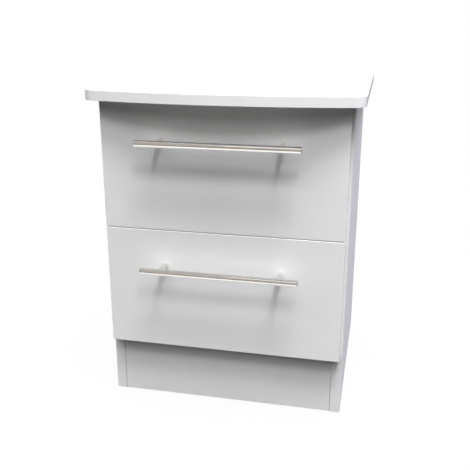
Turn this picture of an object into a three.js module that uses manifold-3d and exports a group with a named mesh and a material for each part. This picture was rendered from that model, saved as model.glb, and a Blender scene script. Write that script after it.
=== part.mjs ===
// A two-drawer bedside cabinet with a bow-fronted top, bar handles and roller runners.
// Units are millimetres. +Z is up and the drawers open towards -Y. The origin is on the floor,
// under the middle of the object's box.
import * as THREE from 'three';
import { mergeVertices } from 'three/addons/utils/BufferGeometryUtils.js';
import Module from 'manifold-3d';

const wasm = await Module();
wasm.setup();

// ---------------------------------------------------------------- driving dimensions

const HEIGHT = 504;
const TOP = { width: 405, thick: 15, bow: 22, frontOverhang: 15, rearOverhang: 20, cornerRadius: 20 };
const CASE = { width: 375, depth: 342.5, board: 16 };
const FRONT = { width: 367, height: 193.5, thick: 16, gap: 1, bottom: 100, edge: 0.8 };
const CLOSING_GAP = 1.5;           // between a closed drawer front and the side panels' front edges
const BASE_BOTTOM = 103;           // underside of the cabinet's floor board
const PLINTH_RECESS = 1;
const RAIL = { frontDepth: 60, rearHeight: 60 };
const BACK = { thick: 3, inset: 12, groove: 6 };
const GLIDE = { radius: 7, height: 1.2, nailRadius: 1.2, nailLength: 12, inset: 25 };
const BOX = { width: 318, length: 300, height: 130, board: 12, bottom: 34 };
const DRAWER_BASE = { thick: 3, up: 10, groove: 6 };
const HANDLE = { length: 240, radius: 5, centres: 180, standoff: 32, postRadius: 4, fromTop: 56 };
const SPIGOT = { radius: 1.6, inBar: 3 };   // the end of a handle post that is held in the bar
const SCREW = { radius: 2, headRadius: 4, head: 2.5, inPost: 10 };
const RUNNER = { length: 300, steel: 1.25, height: 20, travel: 230, setBack: 2, foot: 12, lip: 4.25 };
const STOP = { height: 2, length: 4 };   // the crimp that a drawer's rollers meet when it is fully open
const ROLLER = { radius: 8.5, width: 5.5, bore: 2.75, pin: 2.5, inset: 11, fromBox: 3.25 };
const ROLLING_GAP = 0.1;           // between a roller and the steel that it rolls on
const CAM = { radius: 7.5, thick: 9, fromEnd: 24, up: 65 };
const DOWEL = {
  threadRadius: 2.5,
  thread: 11,
  shankRadius: 3,
  shank: 17,
  neckRadius: 1.75,
  neck: 5,
  head: 3.5,
};
const BUMPER = { radius: 4, thick: 1.25, fromTop: 22 };
const FIT = 0.25;                  // clearance of a board in its groove, and of a pin in its hole
const ROUND = 16;                  // sides of a small round piece
const BAR_ROUND = 24;              // sides of a handle bar

// The object's box runs from the top's bowed front, or the handles', to the top's rear edge.
// It is centred on Y 0.
const FRONT_REACH = Math.max(TOP.frontOverhang + TOP.bow, HANDLE.standoff + HANDLE.radius);
const CASE_FRONT_BACK = FRONT.thick + CLOSING_GAP;
const TOP_REAR_BACK = CASE_FRONT_BACK + CASE.depth + TOP.rearOverhang;
const FACE_Y = -(TOP_REAR_BACK - FRONT_REACH) / 2;   // front plane of the closed drawer fronts
const CASE_FRONT = FACE_Y + CASE_FRONT_BACK;
const CASE_REAR = CASE_FRONT + CASE.depth;
const TOP_REAR = CASE_REAR + TOP.rearOverhang;
const UNDER_TOP = HEIGHT - TOP.thick;
const CASE_HALF = CASE.width / 2;
const INNER_HALF = CASE_HALF - CASE.board;
const BACK_FRONT = CASE_REAR - BACK.inset - BACK.thick;
const BASE_TOP = BASE_BOTTOM + CASE.board;

// ---------------------------------------------------------------- materials

function finish(color, roughness, metalness = 0) {
  return new THREE.MeshStandardMaterial({ color, roughness, metalness });
}

const glossWhite = finish(0xf2f2f3, 0.12);
const satinWhite = finish(0xededf0, 0.4);
const boxWhite = finish(0xe9e8e4, 0.5);
const hardboard = finish(0xe4e2dc, 0.6);
const brushedNickel = finish(0xc9c3b8, 0.28, 1);
const zincSteel = finish(0xb9bcc0, 0.4, 1);
const epoxyWhite = finish(0xe8e8e4, 0.4);
const nylon = finish(0xf0efe9, 0.45);
const clearRubber = finish(0xdcdfe0, 0.3);

// ---------------------------------------------------------------- geometry helpers

function solidOf(geometry) {
  const bare = geometry.clone();
  for (const name of Object.keys(bare.attributes)) {
    if (name !== 'position') bare.deleteAttribute(name);
  }
  const merged = mergeVertices(bare, 1e-4);
  return new wasm.Manifold(new wasm.Mesh({
    numProp: 3,
    vertProperties: merged.attributes.position.array,
    triVerts: new Uint32Array(merged.index.array),
  }));
}

function geometryOf(solid) {
  const mesh = solid.getMesh();
  const geometry = new THREE.BufferGeometry();
  geometry.setAttribute('position', new THREE.BufferAttribute(mesh.vertProperties, 3));
  geometry.setIndex(new THREE.BufferAttribute(mesh.triVerts, 1));
  geometry.computeVertexNormals();
  return geometry;
}

function cut(geometry, ...tools) {
  return geometryOf(tools.reduce((left, tool) => left.subtract(solidOf(tool)), solidOf(geometry)));
}

function join(geometry, ...others) {
  return geometryOf(others.reduce((sum, other) => sum.add(solidOf(other)), solidOf(geometry)));
}

// A block between two corners.
function block([x0, y0, z0], [x1, y1, z1]) {
  const geometry = new THREE.BoxGeometry(Math.abs(x1 - x0), y1 - y0, z1 - z0);
  return geometry.translate((x0 + x1) / 2, (y0 + y1) / 2, (z0 + z1) / 2);
}

// A solid of revolution about +Z: the profile is a list of [radius, height], from the axis to the axis.
function turned(profile, sides = ROUND) {
  const points = profile.map(([radius, height]) => new THREE.Vector2(radius, height));
  return new THREE.LatheGeometry(points, sides).rotateX(Math.PI / 2);
}

const alongX = (geometry) => geometry.rotateY(Math.PI / 2);
const alongY = (geometry) => geometry.rotateX(-Math.PI / 2);

// A plain cylinder that starts at a point and runs along +X, +Y or +Z.
function rod(radius, length, sides) {
  return turned([[0, 0], [radius, 0], [radius, length], [0, length]], sides);
}

function rodX(radius, length, [x, y, z], sides) {
  return alongX(rod(radius, length, sides)).translate(x, y, z);
}

function rodY(radius, length, [x, y, z]) {
  return alongY(rod(radius, length)).translate(x, y, z);
}

function rodZ(radius, length, [x, y, z]) {
  return rod(radius, length).translate(x, y, z);
}

// The mirror image of a piece in the plane X = 0, with its faces turned to point outwards again.
function mirrored(geometry) {
  const flipped = geometry.clone().scale(-1, 1, 1);
  const source = flipped.index ? flipped.toNonIndexed() : flipped;
  const position = source.attributes.position;
  for (let i = 0; i < position.count; i += 3) {
    const kept = [position.getX(i), position.getY(i), position.getZ(i)];
    position.setXYZ(i, position.getX(i + 1), position.getY(i + 1), position.getZ(i + 1));
    position.setXYZ(i + 1, ...kept);
  }
  source.computeVertexNormals();
  return source;
}

function add(group, name, geometry, material) {
  const mesh = new THREE.Mesh(geometry, material);
  mesh.name = name;
  group.add(mesh);
}

// Adds a right-hand piece and its mirror image.
function addPair(group, name, geometry, material) {
  add(group, `${name}_right`, geometry, material);
  add(group, `${name}_left`, mirrored(geometry), material);
}

// ---------------------------------------------------------------- cabinet: boards

// Plan of the top: a shallow arc at the front, straight sides and back, and four round corners.
function topOutline() {
  const half = TOP.width / 2;
  const r = TOP.cornerRadius;
  const frontY = FACE_Y - TOP.frontOverhang - TOP.bow;
  const bowRadius = (half ** 2 + TOP.bow ** 2) / (2 * TOP.bow);
  const bowY = frontY + bowRadius;
  const cornerY = bowY - Math.sqrt((bowRadius - r) ** 2 - (half - r) ** 2);
  const meet = Math.atan2(cornerY - bowY, half - r);     // direction in which bow and corner touch
  const shape = new THREE.Shape();
  shape.absarc(0, bowY, bowRadius, -Math.PI - meet, meet, false);
  shape.absarc(half - r, cornerY, r, meet, 0, false);
  shape.absarc(half - r, TOP_REAR - r, r, 0, Math.PI / 2, false);
  shape.absarc(-half + r, TOP_REAR - r, r, Math.PI / 2, Math.PI, false);
  shape.absarc(-half + r, cornerY, r, Math.PI, Math.PI * 2 - (Math.PI + meet), false);
  return shape;
}

function topPanel() {
  const edge = 1;
  const outline = topOutline();
  const geometry = new THREE.ExtrudeGeometry(outline, {
    depth: TOP.thick - 2 * edge,
    bevelThickness: edge,
    bevelSize: edge,
    bevelOffset: -edge,
    bevelSegments: 1,
    curveSegments: 8,
  });
  return geometry.translate(0, 0, UNDER_TOP + edge);
}

function sidePanel() {
  const board = block([INNER_HALF, CASE_FRONT, GLIDE.height], [CASE_HALF, CASE_REAR, UNDER_TOP]);
  const groove = block(
    [INNER_HALF - 1, BACK_FRONT - FIT, 0],
    [INNER_HALF + BACK.groove, BACK_FRONT + BACK.thick + FIT, HEIGHT],
  );
  const nailHoles = glidePlaces().map(([x, y]) => (
    rodZ(GLIDE.nailRadius + FIT, GLIDE.height + GLIDE.nailLength + FIT, [x, y, 0])
  ));
  return cut(board, groove, ...nailHoles);
}

function backPanel() {
  const half = INNER_HALF + BACK.groove - FIT;
  return block(
    [-half, BACK_FRONT, BASE_BOTTOM - BACK.thick],
    [half, BACK_FRONT + BACK.thick, UNDER_TOP - FIT],
  );
}

function addBoards(cabinet) {
  add(cabinet, 'top_panel', topPanel(), glossWhite);
  addPair(cabinet, 'side_panel', sidePanel(), satinWhite);
  add(cabinet, 'back_panel', backPanel(), hardboard);
  const rearFace = BACK_FRONT - FIT;
  add(cabinet, 'base_panel', block(
    [-INNER_HALF, CASE_FRONT, BASE_BOTTOM],
    [INNER_HALF, rearFace, BASE_TOP],
  ), satinWhite);
  add(cabinet, 'plinth_panel', block(
    [-INNER_HALF + FIT, CASE_FRONT + PLINTH_RECESS, GLIDE.height],
    [INNER_HALF - FIT, CASE_FRONT + PLINTH_RECESS + CASE.board, BASE_BOTTOM],
  ), satinWhite);
  add(cabinet, 'front_top_rail', block(
    [-INNER_HALF, CASE_FRONT, UNDER_TOP - CASE.board],
    [INNER_HALF, CASE_FRONT + RAIL.frontDepth, UNDER_TOP],
  ), satinWhite);
  add(cabinet, 'rear_top_rail', block(
    [-INNER_HALF, rearFace - CASE.board, UNDER_TOP - RAIL.rearHeight],
    [INNER_HALF, rearFace, UNDER_TOP],
  ), satinWhite);
}

// ---------------------------------------------------------------- cabinet: glides

// The right-hand glides' places in plan: front, then rear.
function glidePlaces() {
  const x = (INNER_HALF + CASE_HALF) / 2;
  return [[x, CASE_FRONT + GLIDE.inset], [x, CASE_REAR - GLIDE.inset]];
}

function addGlides(cabinet) {
  const { radius, height, nailRadius, nailLength } = GLIDE;
  const profile = [
    [0, 0], [radius - 1, 0], [radius, 1], [radius, height],
    [nailRadius, height], [nailRadius, height + nailLength], [0, height + nailLength],
  ];
  ['front', 'rear'].forEach((end, i) => {
    const [x, y] = glidePlaces()[i];
    addPair(cabinet, `glide_${end}`, turned(profile).translate(x, y, 0), nylon);
  });
}

// ---------------------------------------------------------------- runners and rollers

// Heights are from the drawer front's bottom edge, and Y is from its front face.
const RUN = (() => {
  const steel = RUNNER.steel;
  const boxHalf = BOX.width / 2;
  const channelBottom = BOX.bottom + 1;
  const channelTop = channelBottom + RUNNER.height;
  const trackTop = channelTop - 2 * steel + FIT;
  const drawerStart = FRONT.thick + FIT;
  const cabinetStart = CASE_FRONT_BACK + RUNNER.setBack;
  const rollerRise = ROLLER.radius + ROLLING_GAP + steel;
  return {
    channelBottom,
    channelTop,
    trackTop,
    drawerStart,
    drawerEnd: drawerStart + RUNNER.length,
    cabinetStart,
    cabinetEnd: cabinetStart + RUNNER.length,
    webInside: boxHalf + FIT,
    webOutside: boxHalf + FIT + steel,
    frontRoller: { y: cabinetStart + ROLLER.inset, z: trackTop - rollerRise },
    rearRoller: { y: drawerStart + RUNNER.length - ROLLER.inset, z: channelBottom + rollerRise },
    rollerInside: boxHalf + ROLLER.fromBox,
    rollerOutside: boxHalf + ROLLER.fromBox + ROLLER.width,
  };
})();

// The right-hand cabinet member: a C channel screwed to the side panel, with the front roller's pin
// and a stop at each end.
function cabinetRunner() {
  const { steel } = RUNNER;
  const { channelBottom, channelTop, cabinetStart, cabinetEnd, frontRoller, rearRoller, rollerInside } = RUN;
  const web = block([INNER_HALF - steel, cabinetStart, channelBottom], [INNER_HALF, cabinetEnd, channelTop]);
  const bottomFlange = block(
    [rollerInside + FIT, frontRoller.y + ROLLER.radius + steel, channelBottom],
    [INNER_HALF, cabinetEnd, channelBottom + steel],
  );
  const topFlange = block(
    [rollerInside + 2 * steel, cabinetStart, channelTop - steel],
    [INNER_HALF, cabinetEnd, channelTop],
  );
  const rearStop = block(
    [rollerInside + steel, cabinetEnd - steel, channelBottom],
    [INNER_HALF, cabinetEnd, channelTop],
  );
  const touch = Math.sqrt(ROLLER.radius ** 2 - (ROLLER.radius - STOP.height) ** 2);
  const frontStopEnd = rearRoller.y - RUNNER.travel - touch - FIT;
  const frontStop = block(
    [rollerInside + FIT, frontStopEnd - STOP.length, channelBottom],
    [INNER_HALF, frontStopEnd, channelBottom + steel + STOP.height],
  );
  const pinStart = rollerInside - steel / 2;
  const pinLength = INNER_HALF - steel / 2 - pinStart;
  const pin = rodX(ROLLER.pin, pinLength, [pinStart, frontRoller.y, frontRoller.z]);
  return join(web, bottomFlange, topFlange, rearStop, frontStop, pin);
}

// The right-hand drawer member: a foot under the box side, a web, and the lipped track outside it.
// The track stops short of the rear roller.
function drawerRunner() {
  const { steel, foot, lip } = RUNNER;
  const { drawerStart, drawerEnd, trackTop, webInside, webOutside, rearRoller, rollerOutside } = RUN;
  const bottom = BOX.bottom - FIT - steel;
  const trackEnd = rearRoller.y - ROLLER.radius - 2 * steel;
  const lipOutside = INNER_HALF - 1.5 * steel;
  const web = block([webInside, drawerStart, bottom], [webOutside, drawerEnd, trackTop]);
  const underBox = block([webOutside - foot, drawerStart, bottom], [webOutside, drawerEnd, bottom + steel]);
  const track = block([webInside, drawerStart, trackTop - steel], [lipOutside, trackEnd, trackTop]);
  const edge = block([lipOutside - steel, drawerStart, trackTop - lip], [lipOutside, trackEnd, trackTop]);
  const pinStart = webOutside - steel / 2;
  const pinLength = rollerOutside + steel / 2 - pinStart;
  const pin = rodX(ROLLER.pin, pinLength, [pinStart, rearRoller.y, rearRoller.z]);
  return join(web, underBox, track, edge, pin);
}

// A nylon roller whose rim is slightly crowned, turned about its bore.
function roller({ y, z }) {
  const { radius, width, bore } = ROLLER;
  const profile = [
    [bore, 0], [radius - 0.5, 0], [radius, 1], [radius, width - 1],
    [radius - 0.5, width], [bore, width], [bore, 0],
  ];
  return alongX(turned(profile)).translate(RUN.rollerInside, y, z);
}

function addCabinetRunners(cabinet, level, bottom) {
  const group = new THREE.Group();
  group.position.set(0, FACE_Y, bottom);
  cabinet.add(group);
  addPair(group, `${level}_cabinet_runner`, cabinetRunner(), epoxyWhite);
  addPair(group, `${level}_cabinet_roller`, roller(RUN.frontRoller), nylon);
}

// ---------------------------------------------------------------- drawers

const HANDLE_Z = FRONT.height - HANDLE.fromTop;
const HALF_CENTRES = HANDLE.centres / 2;
const BOX_HALF = BOX.width / 2;
const BOX_INNER = BOX_HALF - BOX.board;
const BOX_END = FRONT.thick + BOX.length;
const BASE_Z = BOX.bottom + DRAWER_BASE.up;
const CAM_Y = FRONT.thick + CAM.fromEnd;
const CAM_Z = BOX.bottom + CAM.up;
const DOWEL_X = BOX_HALF - BOX.board / 2;

// The slot for the drawer's base: the same height in the front, and in both sides.
function baseSlot(x0, x1, y0, y1) {
  return block([x0, y0, BASE_Z - FIT], [x1, y1, BASE_Z + DRAWER_BASE.thick + FIT]);
}

function drawerFront() {
  const { width, height, thick, edge } = FRONT;
  const outline = new THREE.Shape();
  outline.moveTo(-width / 2, 0);
  outline.lineTo(width / 2, 0);
  outline.lineTo(width / 2, height);
  outline.lineTo(-width / 2, height);
  const board = new THREE.ExtrudeGeometry(outline, {
    depth: thick - 2 * edge,
    bevelThickness: edge,
    bevelSize: edge,
    bevelOffset: -edge,
    bevelSegments: 1,
  });
  board.rotateX(Math.PI / 2).translate(0, thick - edge, 0);
  const slotHalf = BOX_INNER + DRAWER_BASE.groove;
  const slot = baseSlot(-slotHalf, slotHalf, thick - DRAWER_BASE.groove, thick + 1);
  const holes = [-1, 1].flatMap((side) => [
    rodY(SCREW.radius + FIT, thick + 2, [side * HALF_CENTRES, -1, HANDLE_Z]),
    rodY(DOWEL.threadRadius + FIT, DOWEL.thread + 2, [side * DOWEL_X, thick - DOWEL.thread - FIT, CAM_Z]),
  ]);
  return cut(board, slot, ...holes);
}

function boxSide() {
  const board = block([BOX_INNER, FRONT.thick, BOX.bottom], [BOX_HALF, BOX_END, BOX.bottom + BOX.height]);
  const slot = baseSlot(BOX_INNER - 1, BOX_INNER + DRAWER_BASE.groove, FRONT.thick - 1, BOX_END + 1);
  const camPocket = rodX(CAM.radius + FIT, CAM.thick + 2 * FIT + 1, [BOX_INNER - 1, CAM_Y, CAM_Z]);
  const dowelBore = rodY(DOWEL.shankRadius + FIT, CAM.fromEnd, [DOWEL_X, FRONT.thick - 1, CAM_Z]);
  return cut(board, slot, camPocket, dowelBore);
}

// The cam that grips a dowel's head: a disc, open where the dowel comes in.
function cam() {
  const disc = rodX(CAM.radius, CAM.thick, [BOX_INNER + FIT, CAM_Y, CAM_Z]);
  const mouth = DOWEL.shankRadius + 2 * FIT;
  const slot = block(
    [DOWEL_X - mouth, CAM_Y - CAM.radius - 1, CAM_Z - mouth],
    [BOX_HALF, CAM_Y + 4, CAM_Z + mouth],
  );
  return cut(disc, slot);
}

function camDowel() {
  const { threadRadius, thread, shankRadius, shank, neckRadius, neck, head } = DOWEL;
  const shoulder = thread + shank;
  const profile = [
    [0, 0], [threadRadius, 1], [threadRadius, thread], [shankRadius, thread], [shankRadius, shoulder],
    [neckRadius, shoulder], [neckRadius, shoulder + neck], [shankRadius, shoulder + neck],
    [shankRadius - 1, shoulder + neck + head], [0, shoulder + neck + head],
  ];
  return alongY(turned(profile)).translate(DOWEL_X, FRONT.thick - thread, CAM_Z);
}

function handleBar() {
  const { length, radius, standoff } = HANDLE;
  const bevel = 0.6;
  const bar = alongX(turned([
    [0, 0], [radius - bevel, 0], [radius, bevel],
    [radius, length - bevel], [radius - bevel, length], [0, length],
  ], BAR_ROUND)).translate(-length / 2, -standoff, HANDLE_Z);
  const socketStart = -standoff + radius - SPIGOT.inBar - FIT;
  const sockets = [-1, 1].map((side) => (
    rodY(SPIGOT.radius + FIT, radius, [side * HALF_CENTRES, socketStart, HANDLE_Z])
  ));
  return cut(bar, ...sockets);
}

// A post whose end is hollowed to sit on the bar, with a spigot that goes into it.
function handlePost() {
  const { radius, postRadius, standoff } = HANDLE;
  const x = HALF_CENTRES;
  const post = rodY(postRadius, standoff, [x, -standoff, HANDLE_Z]);
  const saddle = rodX(radius + FIT, 4 * postRadius, [x - 2 * postRadius, -standoff, HANDLE_Z], BAR_ROUND);
  const spigotStart = -standoff + radius - SPIGOT.inBar;
  const spigot = rodY(SPIGOT.radius, SPIGOT.inBar + 2, [x, spigotStart, HANDLE_Z]);
  const screwHole = rodY(SCREW.radius + FIT, SCREW.inPost + 2, [x, -SCREW.inPost - 1, HANDLE_Z]);
  return join(cut(post, saddle, screwHole), spigot);
}

function handleScrew() {
  const { radius, headRadius, head, inPost } = SCREW;
  const shank = FRONT.thick + inPost;
  return alongY(turned([
    [0, 0], [radius, 1], [radius, shank],
    [headRadius, shank], [headRadius - 1, shank + head], [0, shank + head],
  ])).translate(HALF_CENTRES, -inPost, HANDLE_Z);
}

function bumper() {
  const x = (INNER_HALF + FRONT.width / 2) / 2;
  return rodY(BUMPER.radius, BUMPER.thick, [x, FRONT.thick, FRONT.height - BUMPER.fromTop]);
}

function addDrawer(cabinet, level, bottom) {
  const drawer = new THREE.Group();
  drawer.position.set(0, FACE_Y, bottom);
  cabinet.add(drawer);
  const name = (piece) => `${level}_${piece}`;
  const slotEnd = BOX_INNER + DRAWER_BASE.groove - 2 * FIT;
  const boxTop = BOX.bottom + BOX.height;
  const aboveBase = BASE_Z + DRAWER_BASE.thick + FIT;

  add(drawer, name('drawer_front'), drawerFront(), glossWhite);
  addPair(drawer, name('drawer_side'), boxSide(), boxWhite);
  add(drawer, name('drawer_back'), block(
    [-BOX_INNER, BOX_END - BOX.board, aboveBase],
    [BOX_INNER, BOX_END, boxTop],
  ), boxWhite);
  add(drawer, name('drawer_base'), block(
    [-slotEnd, FRONT.thick - DRAWER_BASE.groove + 2 * FIT, BASE_Z],
    [slotEnd, BOX_END - 1, BASE_Z + DRAWER_BASE.thick],
  ), hardboard);
  addPair(drawer, name('drawer_runner'), drawerRunner(), epoxyWhite);
  addPair(drawer, name('drawer_roller'), roller(RUN.rearRoller), nylon);
  add(drawer, name('handle_bar'), handleBar(), brushedNickel);
  addPair(drawer, name('handle_post'), handlePost(), brushedNickel);
  addPair(drawer, name('handle_screw'), handleScrew(), zincSteel);
  addPair(drawer, name('cam_lock'), cam(), zincSteel);
  addPair(drawer, name('cam_dowel'), camDowel(), zincSteel);
  addPair(drawer, name('bumper'), bumper(), clearRubber);
}

// ---------------------------------------------------------------- assembly

const nightstand = new THREE.Group();
addBoards(nightstand);
addGlides(nightstand);
['lower', 'upper'].forEach((level, i) => {
  const bottom = FRONT.bottom + i * (FRONT.height + FRONT.gap);
  addCabinetRunners(nightstand, level, bottom);
  addDrawer(nightstand, level, bottom);
});

export default nightstand;
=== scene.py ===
"""The looks of a two-drawer bedside cabinet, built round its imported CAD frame.

Units are metres. +Z is up and the drawers open towards -Y.
"""

import math

import bmesh
import bpy
from mathutils import Matrix, Vector


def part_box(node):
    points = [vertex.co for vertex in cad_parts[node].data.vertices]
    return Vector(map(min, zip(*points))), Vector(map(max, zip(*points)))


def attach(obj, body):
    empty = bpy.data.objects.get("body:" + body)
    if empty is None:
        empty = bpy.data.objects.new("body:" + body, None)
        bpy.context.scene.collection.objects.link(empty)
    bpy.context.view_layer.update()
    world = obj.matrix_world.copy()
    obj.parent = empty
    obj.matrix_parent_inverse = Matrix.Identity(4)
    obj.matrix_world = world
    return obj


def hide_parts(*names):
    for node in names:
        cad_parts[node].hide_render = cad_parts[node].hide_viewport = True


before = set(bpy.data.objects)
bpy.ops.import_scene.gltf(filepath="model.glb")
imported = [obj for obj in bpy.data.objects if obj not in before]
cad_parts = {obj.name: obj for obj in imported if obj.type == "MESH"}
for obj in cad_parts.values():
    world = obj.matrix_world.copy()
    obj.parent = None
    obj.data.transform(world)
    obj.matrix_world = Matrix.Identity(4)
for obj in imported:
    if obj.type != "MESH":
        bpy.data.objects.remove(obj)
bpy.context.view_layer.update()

MM = 0.001
SIDES = {"right": 1, "left": -1}
LEVELS = ("lower", "upper")
CABINET = "cabinet"

# ---------------------------------------------------------------- dimensions

SLAB = {"bow": 22 * MM, "corner": 20 * MM, "edge": 0.4 * MM}
BOW_STEPS = 64
CORNER_STEPS = 12
FRONT_EDGE = 0.8 * MM              # wrapped edges of a drawer front
BACK_EDGE = 0.4 * MM               # edges behind a drawer front
BOARD_EDGE = 0.6 * MM
BANDING = 0.8 * MM                 # thickness of the edging on a visible board edge
GROOVE_DEPTH = 6 * MM
FIT = 0.25 * MM                    # clearance of a board in its groove, and of a pin in its hole
BOX_TOP_EDGE = 2.5 * MM            # foil-wrapped top edge of a drawer side
OVERCUT = 1 * MM                   # how far a cutter reaches past the surface that it cuts
TOUCHING = 0.01 * MM               # a vertex this near to a plane lies on it

NAIL = {"radius": 1.2 * MM, "point": 2 * MM, "hole": 1.45 * MM}
GLIDE = {"dome": 0.85, "flat": 0.2}   # shares of the foot's height and of its radius
STAPLE = {"crown": 10 * MM, "wire": 0.6 * MM, "sunk": 0.1 * MM, "edge": 0.25 * MM, "count": 5,
          "margin": 0.7}           # the margin at each end of the row is a share of its spacing
CAM = {"radius": 7.5 * MM, "chamfer": 0.3 * MM, "mouth": 3.5 * MM, "past_centre": 4 * MM, "cross": 6.4 * MM,
       "cross_depth": 1.9 * MM, "face_step": 0.4 * MM, "step_radius": 5.6 * MM, "rib_radius": 6 * MM}
CAM_POCKET = {"radius": 7.75 * MM, "depth": 10.5 * MM}
DOWEL_HOLE = {"in_front": 2.75 * MM, "front_depth": 14 * MM, "in_side": 3.25 * MM}
HANDLE_SCREW = {"radius": 2 * MM, "hole": 2.25 * MM, "head_radius": 4 * MM, "head": 2.5 * MM,
                "cross": 4.4 * MM, "hole_in_post": 11 * MM}
CROSS_ARM = 0.13                   # half the width of a cross recess's arm, as a share of the cross's size
CROSS_DEPTH = 0.35                 # depth of a screw's recess, as a share of its size
BLUNT_TIP = {"radius": 0.6, "start": 0.9}   # shares of the shank's radius and length
SHARP_TIP_START = 0.8              # share of the shank's length
FLAT_HEAD_RIM = 0.2 * MM
PAN_HEAD_RIM = 0.35                # share of the head's height
BUFFER_RIM = 0.15                  # share of the buffer's height
BAR_END = {"chamfer": 0.5 * MM, "step_in": 0.15 * MM, "step_along": 0.2 * MM}
POST_EDGE = 0.3 * MM
SPIGOT = {"radius": 1.6 * MM, "hole": 1.85 * MM}

SMOOTH_ANGLE = 38                  # degrees: two faces that meet at a sharper angle keep a crisp edge
HANDLE_SIDES = 64
FINE_SIDES = 48
ROUND_SIDES = 40
BUFFER_SIDES = 32
PIN_SIDES = 28
HOLE_SIDES = 24
NAIL_HOLE_SIDES = 20


# ---------------------------------------------------------------- node materials

def add_node(tree, kind, **settings):
    """A new node. A setting with the name of an input sets that input, and any other sets a property."""
    node = tree.nodes.new(kind)
    for key, value in settings.items():
        if key in node.inputs:
            node.inputs[key].default_value = value
        else:
            setattr(node, key, value)
    return node


def start_material(name):
    material = bpy.data.materials.new(name)
    material.use_nodes = True
    tree = material.node_tree
    shader = tree.nodes["Principled BSDF"]
    place = add_node(tree, "ShaderNodeTexCoord").outputs["Object"]
    return material, tree, shader, place


def noise(tree, vector, scale, detail=3.0, stretch=(1, 1, 1)):
    """Noise whose grain is 1 / scale metres, drawn out along each axis whose stretch is below 1."""
    mapping = add_node(tree, "ShaderNodeMapping")
    mapping.inputs["Scale"].default_value = stretch
    tree.links.new(vector, mapping.inputs["Vector"])
    texture = add_node(tree, "ShaderNodeTexNoise", Scale=scale, Detail=detail)
    tree.links.new(mapping.outputs["Vector"], texture.inputs["Vector"])
    return texture.outputs["Fac"]


def between(tree, factor, low, high, start=0.3, end=0.7):
    """Maps a texture's usual span onto the values from low to high."""
    node = add_node(tree, "ShaderNodeMapRange")
    for key, value in (("From Min", start), ("From Max", end), ("To Min", low), ("To Max", high)):
        node.inputs[key].default_value = value
    tree.links.new(factor, node.inputs["Value"])
    return node.outputs["Result"]


def blend_colours(tree, factor, first, second):
    node = add_node(tree, "ShaderNodeMix", data_type="RGBA")
    node.inputs[6].default_value = (*first, 1)
    node.inputs[7].default_value = (*second, 1)
    tree.links.new(factor, node.inputs["Factor"])
    return node.outputs[2]


def bump(tree, shader, height, depth):
    node = add_node(tree, "ShaderNodeBump", Strength=1, Distance=depth)
    tree.links.new(height, node.inputs["Height"])
    tree.links.new(node.outputs["Normal"], shader.inputs["Normal"])


def gloss_foil():
    """High-gloss foil pressed over board: an even white with a very shallow orange peel."""
    material, tree, shader, place = start_material("gloss_foil")
    shade = noise(tree, place, 18, 2)
    colour = blend_colours(tree, between(tree, shade, 0, 1), (0.845, 0.845, 0.85), (0.865, 0.865, 0.868))
    tree.links.new(colour, shader.inputs["Base Color"])
    rough = between(tree, noise(tree, place, 60, 4), 0.2, 0.27)
    tree.links.new(rough, shader.inputs["Roughness"])
    shader.inputs["Coat Weight"].default_value = 0.6
    shader.inputs["Coat Roughness"].default_value = 0.12
    bump(tree, shader, noise(tree, place, 260, 2), 0.02 * MM)
    return material


def melamine(name, low, high, roughness):
    """Melamine-faced board: a fine pearl texture under a satin sheen."""
    material, tree, shader, place = start_material(name)
    shade = noise(tree, place, 35, 4)
    tree.links.new(blend_colours(tree, between(tree, shade, 0, 1), low, high), shader.inputs["Base Color"])
    pearl = noise(tree, place, 1400, 2)
    tree.links.new(between(tree, pearl, roughness - 0.05, roughness + 0.07), shader.inputs["Roughness"])
    bump(tree, shader, pearl, 0.03 * MM)
    return material


def linen_foil():
    """The foil on a drawer box, with a faint linen weave."""
    material, tree, shader, place = start_material("linen_foil")
    warp = noise(tree, place, 900, 1, (0.06, 0.06, 1))
    weft = noise(tree, place, 900, 1, (1, 1, 0.06))
    weave = add_node(tree, "ShaderNodeMath", operation="MULTIPLY")
    tree.links.new(warp, weave.inputs[0])
    tree.links.new(weft, weave.inputs[1])
    tone = between(tree, weave.outputs[0], 0, 1, 0.15, 0.4)
    colour = blend_colours(tree, tone, (0.76, 0.755, 0.735), (0.83, 0.825, 0.81))
    tree.links.new(colour, shader.inputs["Base Color"])
    tree.links.new(between(tree, warp, 0.42, 0.56), shader.inputs["Roughness"])
    bump(tree, shader, weave.outputs[0], 0.05 * MM)
    return material


def hardboard():
    """Lacquered hardboard: pressed fibres show through a thin off-white coat."""
    material, tree, shader, place = start_material("hardboard")
    fibres = noise(tree, place, 420, 6, (1, 1, 0.35))
    patches = noise(tree, place, 14, 3)
    mixed = add_node(tree, "ShaderNodeMath", operation="MULTIPLY")
    tree.links.new(fibres, mixed.inputs[0])
    tree.links.new(patches, mixed.inputs[1])
    tone = between(tree, mixed.outputs[0], 0, 1, 0.12, 0.42)
    colour = blend_colours(tree, tone, (0.70, 0.68, 0.63), (0.80, 0.79, 0.755))
    tree.links.new(colour, shader.inputs["Base Color"])
    tree.links.new(between(tree, fibres, 0.5, 0.68), shader.inputs["Roughness"])
    bump(tree, shader, fibres, 0.08 * MM)
    return material


def brushed_metal(name, low, high, roughness, grain, stretch, depth):
    """Brushed nickel plate. The brushing runs along the axes whose stretch is below 1."""
    material, tree, shader, place = start_material(name)
    shader.inputs["Metallic"].default_value = 1.0
    lines = noise(tree, place, grain, 3, stretch)
    clouds = noise(tree, place, 60, 3)
    tree.links.new(blend_colours(tree, between(tree, clouds, 0, 1), low, high), shader.inputs["Base Color"])
    tree.links.new(between(tree, lines, roughness - 0.03, roughness + 0.03), shader.inputs["Roughness"])
    bump(tree, shader, lines, depth)
    return material


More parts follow.
